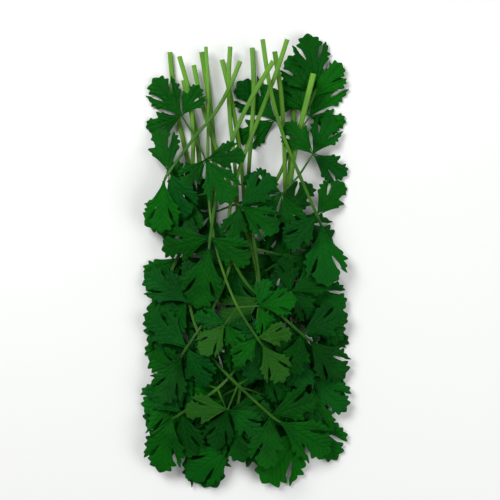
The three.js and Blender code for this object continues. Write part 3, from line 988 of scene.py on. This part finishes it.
long_rod = model_rod("long_rod_pattern", sides=28, ribs=7, rings=60)
short_rod = model_rod("short_rod_pattern", sides=20, ribs=5, rings=12)
print("rods", len(long_rod.data.polygons), len(short_rod.data.polygons), "faces")

# %% [markdown]
# ## Bending the rod
# Each stalk is a copy of the rod, bent along a smooth line through its resting points and swollen a
# little where it forks. A curve modifier could turn the groove away from the top, so the corners are
# set one by one, with one side of the rod kept upwards.

# %% Bend a copy along the resting points
KNOT_SWELL, KNOT_REACH, PALE_FADE, LEAST_TONE = 0.2, 0.02, 1.5, 0.1


def smooth_path(points, shares):
    """Positions and directions at shares of a smooth line through the points."""
    ends = np.array([2 * points[0] - points[1], *points, 2 * points[-1] - points[-2]])
    spot = np.clip(shares, 0, 1) * (len(points) - 1)
    i = np.minimum(spot.astype(int), len(points) - 2)
    t = (spot - i)[:, None]
    a, b, c, d = ends[i], ends[i + 1], ends[i + 2], ends[i + 3]
    way = (c - a) + 2 * t * (2 * a - 5 * b + 4 * c - d) + 3 * t * t * (3 * (b - c) + d - a)
    return between(a, b, c, d, t), way / np.linalg.norm(way, axis=1)[:, None]


def copy_of(pattern):
    twin = pattern.copy()
    twin.data = pattern.data.copy()
    bpy.context.scene.collection.objects.link(twin)
    return twin


def in_metres(points):
    return (points + [shift_x, shift_y, 0]) * MM


def bend_rod(pattern, points, radii, pale, knots=()):
    rod = copy_of(pattern)
    flat = corners_of(rod)
    share = flat[:, 2]
    where, way = smooth_path(points, share)
    up = np.array([0, 0, 1]) - way * way[:, 2:]
    up /= np.linalg.norm(up, axis=1)[:, None]
    side = np.cross(up, way)
    swell = 1 + KNOT_SWELL * sum(np.exp(-(((share - knot) / KNOT_REACH) ** 2)) for knot in knots)
    radius = (np.interp(share, np.linspace(0, 1, len(radii)), radii) * swell)[:, None]
    bent = where + side * flat[:, :1] * radius + up * flat[:, 1:2] * radius
    bent[:, 2] = np.maximum(bent[:, 2], 0)
    set_corners(rod, in_metres(bent))
    set_share(rod.data, "tone", pale * (1 - share) ** PALE_FADE + LEAST_TONE)
    return rod

print("a fork swells a stalk by", KNOT_SWELL, "of its width")

# %% [markdown]
# ## Pale leaflets and leaflets in painted light
# Some leaflets lie pale side up, and a few at the edge are painted lighter, as painted light. They
# could be picked by number. Here the spots are given, and the nearest leaflet in plain view is found.

# %% Choose the leaflets
PALE_SPOTS = [(1.5, -22.8), (8.3, -35.5), (4.4, -52.5), (-19.4, -65.1), (-19.4, -36.9)]
# painted light: spots where the leaflet in view is painted a lighter green
PAINTED_LIGHT_SPOTS = [(34, -79.2), (5.3, -102.5), (-41.8, -105.9), (-46.7, 32.6), (43, 78)]
MOSTLY_SEEN = 0.5


def in_plain_view(leaflets):
    """The leaflets that are mostly seen from above, each with the middle of what shows."""
    top, laid = Pile(), []
    for leaflet in leaflets:
        u, v = leaflet["samples"].T
        laid.append((leaflet, *place(leaflet, u, v), height(leaflet, u, v)))
        top.lift_to(*laid[-1][1:])
    for leaflet, x, y, level in laid:
        clear = level > top.at(x, y) - BLADE_THICKNESS
        if clear.mean() > MOSTLY_SEEN:
            yield leaflet, np.array([x[clear].mean(), y[clear].mean()])


seen = list(in_plain_view([leaflet for stem in stems for leaflet in stem["leaflets"]]))
for spots, mark in ((PALE_SPOTS, "pale_up"), (PAINTED_LIGHT_SPOTS, "greener")):
    for spot in spots:
        free = [one for one in seen if mark not in one[0]]
        leaflet, middle = min(free, key=lambda one: np.linalg.norm(one[1] - spot))
        leaflet[mark] = True
        print(mark, spot, "at", middle.round(1))

# %% [markdown]
# ## Laying a leaflet in its place
# Each leaflet is a pattern on the form in which its coarse leaflet settled. A real blade is creased
# at the veins, bulges between their branches and waves at the margin. Sculpting could give this to
# one leaf. Here drawn waves give it to all, and stay smaller than the gap.

# %% The waves of a blade
CREASE, CREASE_POWER, QUILT, QUILT_PHASE, WAVE = 0.3, 1.3, 0.13, 0.25, 0.22
RUFFLE_TURNS, SWELL_ALONG, SWELL_ACROSS, PHASE = (9, 14), (4, 7), (5, 9), (0, 6.28)


def waved(level, u, v, inner, run, draw):
    """A blade's level with its waves, crease and quilt; u and v are shares of its length."""
    turns = u * draw(*RUFFLE_TURNS) + v * draw(*RUFFLE_TURNS) + draw(*PHASE)
    ruffle = (1 - inner) ** 2 * np.sin(turns)
    swell_along = np.sin(v * draw(*SWELL_ALONG) + draw(*PHASE))
    swell_across = np.sin(u * draw(*SWELL_ACROSS) + draw(*PHASE))
    wave = WAVE * (ruffle + swell_along * swell_across) * smooth(v / RISE_END)
    crease = CREASE * (np.sin(np.pi * inner**CREASE_POWER) - 0.5)
    quilt = QUILT * np.cos(TURN * (run / BRANCH_GAP + QUILT_PHASE)) * np.sin(np.pi * inner)
    return level + wave + crease + quilt

print("waves of up to", 2 * WAVE, "mm")

# %% Keep the teeth inside the solids' box
INSET, LENGTH_STEP = (-1, 2.4), 0.1
half_width, half_length = (cad_high.x - cad_low.x) / 2 / MM, (cad_high.y - cad_low.y) / 2 / MM


def fitted_length(leaflet, flat, inset):
    """The leaflet's length, less where its teeth would come nearer than the inset."""
    length = leaflet["length"]
    while True:
        x, y = place(leaflet, flat[:, 0] * leaflet["mirror"] * length, flat[:, 1] * length)
        over = np.abs(x + shift_x).max() - half_width, np.abs(y + shift_y).max() - half_length
        if max(over) <= -inset:
            return length
        length -= LENGTH_STEP

print("half the box is", round(half_width, 1), "by", round(half_length, 1), "mm")

# %% Copy a leaflet on to its place
TONE_OF_STEM = {"dark": 0.12, "mid": 0.34, "light": 0.6}
# painted light: where the lighter edge of the bunch begins across and towards the front, how fast it
# comes in and how much it adds; the spot gain below is painted light on single leaflets
PAINTED_LIGHT_START, PAINTED_LIGHT_FADE, PAINTED_LIGHT_GAIN = (36, 88), 12, 0.35
TONE_SPREAD, SPOT_PAINTED_LIGHT, COOLNESS = (-0.22, 0.26), 0.35, (-0.5, 1)


def lay_leaflet(leaflet, stem_tone, draw):
    leaf = copy_of(patterns[leaflet["kind"], int(draw(0, len(PATTERN_SEEDS)))])
    mesh = leaf.data
    flat = corners_of(leaf)
    length = fitted_length(leaflet, flat, max(0, draw(*INSET)))
    u, v = flat[:, 0] * leaflet["mirror"] * length, flat[:, 1] * length
    inner = np.clip(get_share(mesh, "inner"), 0, 1)
    run = get_share(mesh, "run") * length
    level = waved(height(leaflet, u, v), u / length, v / length, inner, run, draw)
    level = np.maximum(level, SHEET_THICKNESS / 2)
    x, y = place(leaflet, u, v)
    laid = np.column_stack([x, y, level + flat[:, 2] * LEAFLET_SIZE])
    set_corners(leaf, in_metres(laid))
    lobe_map = mesh.uv_layers["lobe"].data
    lobe_map.foreach_set("uv", (numbers_of(lobe_map, "uv", 2) * length).ravel())
    # painted light: leaves at the margin of the bunch, and the leaflets at the listed spots, are
    # painted a lighter green
    past = np.abs(x) - PAINTED_LIGHT_START[0], -y - PAINTED_LIGHT_START[1]
    painted_edge_light = smooth(past[0] / PAINTED_LIGHT_FADE) + smooth(past[1] / PAINTED_LIGHT_FADE)
    tone = stem_tone + draw(*TONE_SPREAD) + (SPOT_PAINTED_LIGHT if "greener" in leaflet else 0)
    set_share(mesh, "tone", tone + PAINTED_LIGHT_GAIN * np.minimum(painted_edge_light, 1))
    set_share(mesh, "cool", draw(*COOLNESS))
    if "pale_up" in leaflet:
        for face in mesh.polygons:
            face.material_index = 1 - face.material_index
    if leaflet["mirror"] < 0:
        mesh.flip_normals()
    return leaf

print("tones of the stems", TONE_OF_STEM)

# %% [markdown]
# ## Dressing each leafy stem
# Each leaf could stay a piece, but a stem moves as a whole, so its leaflets are joined to one piece
# and its stalks to another. Both ride on the one body and take the place of its solid.

# %% Dress the stems
SLIMMER, PETIOLE_PALE, STALK_PALE, DRESS_SEED = 0.86, 0.8, 0.1, 500


def joined(parts, name):
    only(parts[0])
    for part in parts:
        part.select_set(True)
    bpy.ops.object.join()
    whole = bpy.context.object
    whole.name = name
    whole.data.name = name
    return whole


faces = 0
for number, stem in enumerate(stems, 1):
    draw = Draws(DRESS_SEED + number)
    node, slot = f"leafy_stem_{number:02d}", f"leaf_{stem['tone']}"
    leaves = [lay_leaflet(leaflet, TONE_OF_STEM[stem["tone"]], draw) for leaflet in stem["leaflets"]]
    steps = len(stem["axis"]) - 1
    forks = np.arange(stem["fork"], steps) / steps
    rods = [bend_rod(long_rod, stem["axis"], stem["radii"] * SLIMMER, PETIOLE_PALE, forks)]
    for points in stem["stalks"]:
        rods.append(bend_rod(short_rod, points, stem["thin"] * SLIMMER, STALK_PALE))
    for piece in (joined(leaves, f"leaflets_{number:02d}"), joined(rods, f"stalks_{number:02d}")):
        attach(piece, "root")
        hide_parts(node)
        faces += len(piece.data.polygons)
print(faces, "faces on", 2 * len(stems), "pieces")

# %% Take the patterns away
for pattern in [*patterns.values(), long_rod, short_rod]:
    bpy.data.objects.remove(pattern)

# %% [markdown]
# ## Floor and light
# A picture of a studio could light the bunch, but a plain floor, two wide soft lamps and an even sky
# are easier to change.

# %% Set the floor and the sky
FLOOR_SIZE, FLOOR_DROP, FLOOR_ROUGHNESS, FLOOR_SHINE, SKY_STRENGTH = 4, 0.0004, 0.8, 0.2, 0.3
bpy.ops.mesh.primitive_plane_add(size=FLOOR_SIZE, location=(0, 0, -FLOOR_DROP))
floor = bpy.context.object
floor.name = "floor"
floor_finish, floor_skin, _ = new_finish("pale_floor", FLOOR_ROUGHNESS, FLOOR_SHINE)
floor_skin.inputs["Base Color"].default_value = (0.8, 0.81, 0.8, 1)
floor.data.materials.append(floor_finish)
floor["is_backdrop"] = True
world = bpy.context.scene.world or bpy.data.worlds.new("studio")
bpy.context.scene.world = world
world.use_nodes = True
sky = world.node_tree.nodes["Background"]
sky.inputs["Color"].default_value = (1, 1, 1, 1)
sky.inputs["Strength"].default_value = SKY_STRENGTH
bpy.context.scene.view_settings.view_transform = "Standard"
print("floor", FLOOR_SIZE, "m wide, sky at", SKY_STRENGTH)

# %% Hang the lamps
# place, width and power; both look at the middle
LAMPS = [((-0.45, 0.5, 0.75), 0.5, 9), ((0.6, -0.1, 0.7), 0.6, 4)]
for spot, width, power in LAMPS:
    bpy.ops.object.light_add(type="AREA", location=spot)
    lamp = bpy.context.object
    lamp.data.size = width
    lamp.data.energy = power
    lamp.rotation_euler = (-Vector(spot)).to_track_quat("-Z", "Y").to_euler()
    print("a lamp of", power, "W", round(Vector(spot).length, 2), "m away")

# %% [markdown]
# ## Camera
# The picture is taken from straight above. A wide lens nearby would show the sides of the pile, so
# the lens is long, and its distance follows from the span of the picture.

# %% Set the camera
PICTURE_SPAN, LENS, SENSOR, MIDDLE_HEIGHT = 0.243, 100, 36, 0.018
distance = MIDDLE_HEIGHT + PICTURE_SPAN * LENS / SENSOR
bpy.ops.object.camera_add(location=(0.002, 0.006, distance))
camera = bpy.context.object
camera.rotation_euler = (0, 0, 0)
camera.data.lens, camera.data.sensor_width = LENS, SENSOR
bpy.context.scene.camera = camera
print("the camera is", round(distance, 3), "m above the table")

# %% [markdown]
# ## The two boxes
# The dressed pieces' box could be read off in the viewport. It is written beside the solids' box, to
# show that nothing sticks out.

# %% Write the two boxes
low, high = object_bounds()
print("visual from", tuple(round(c, 4) for c in low), "to", tuple(round(c, 4) for c in high))
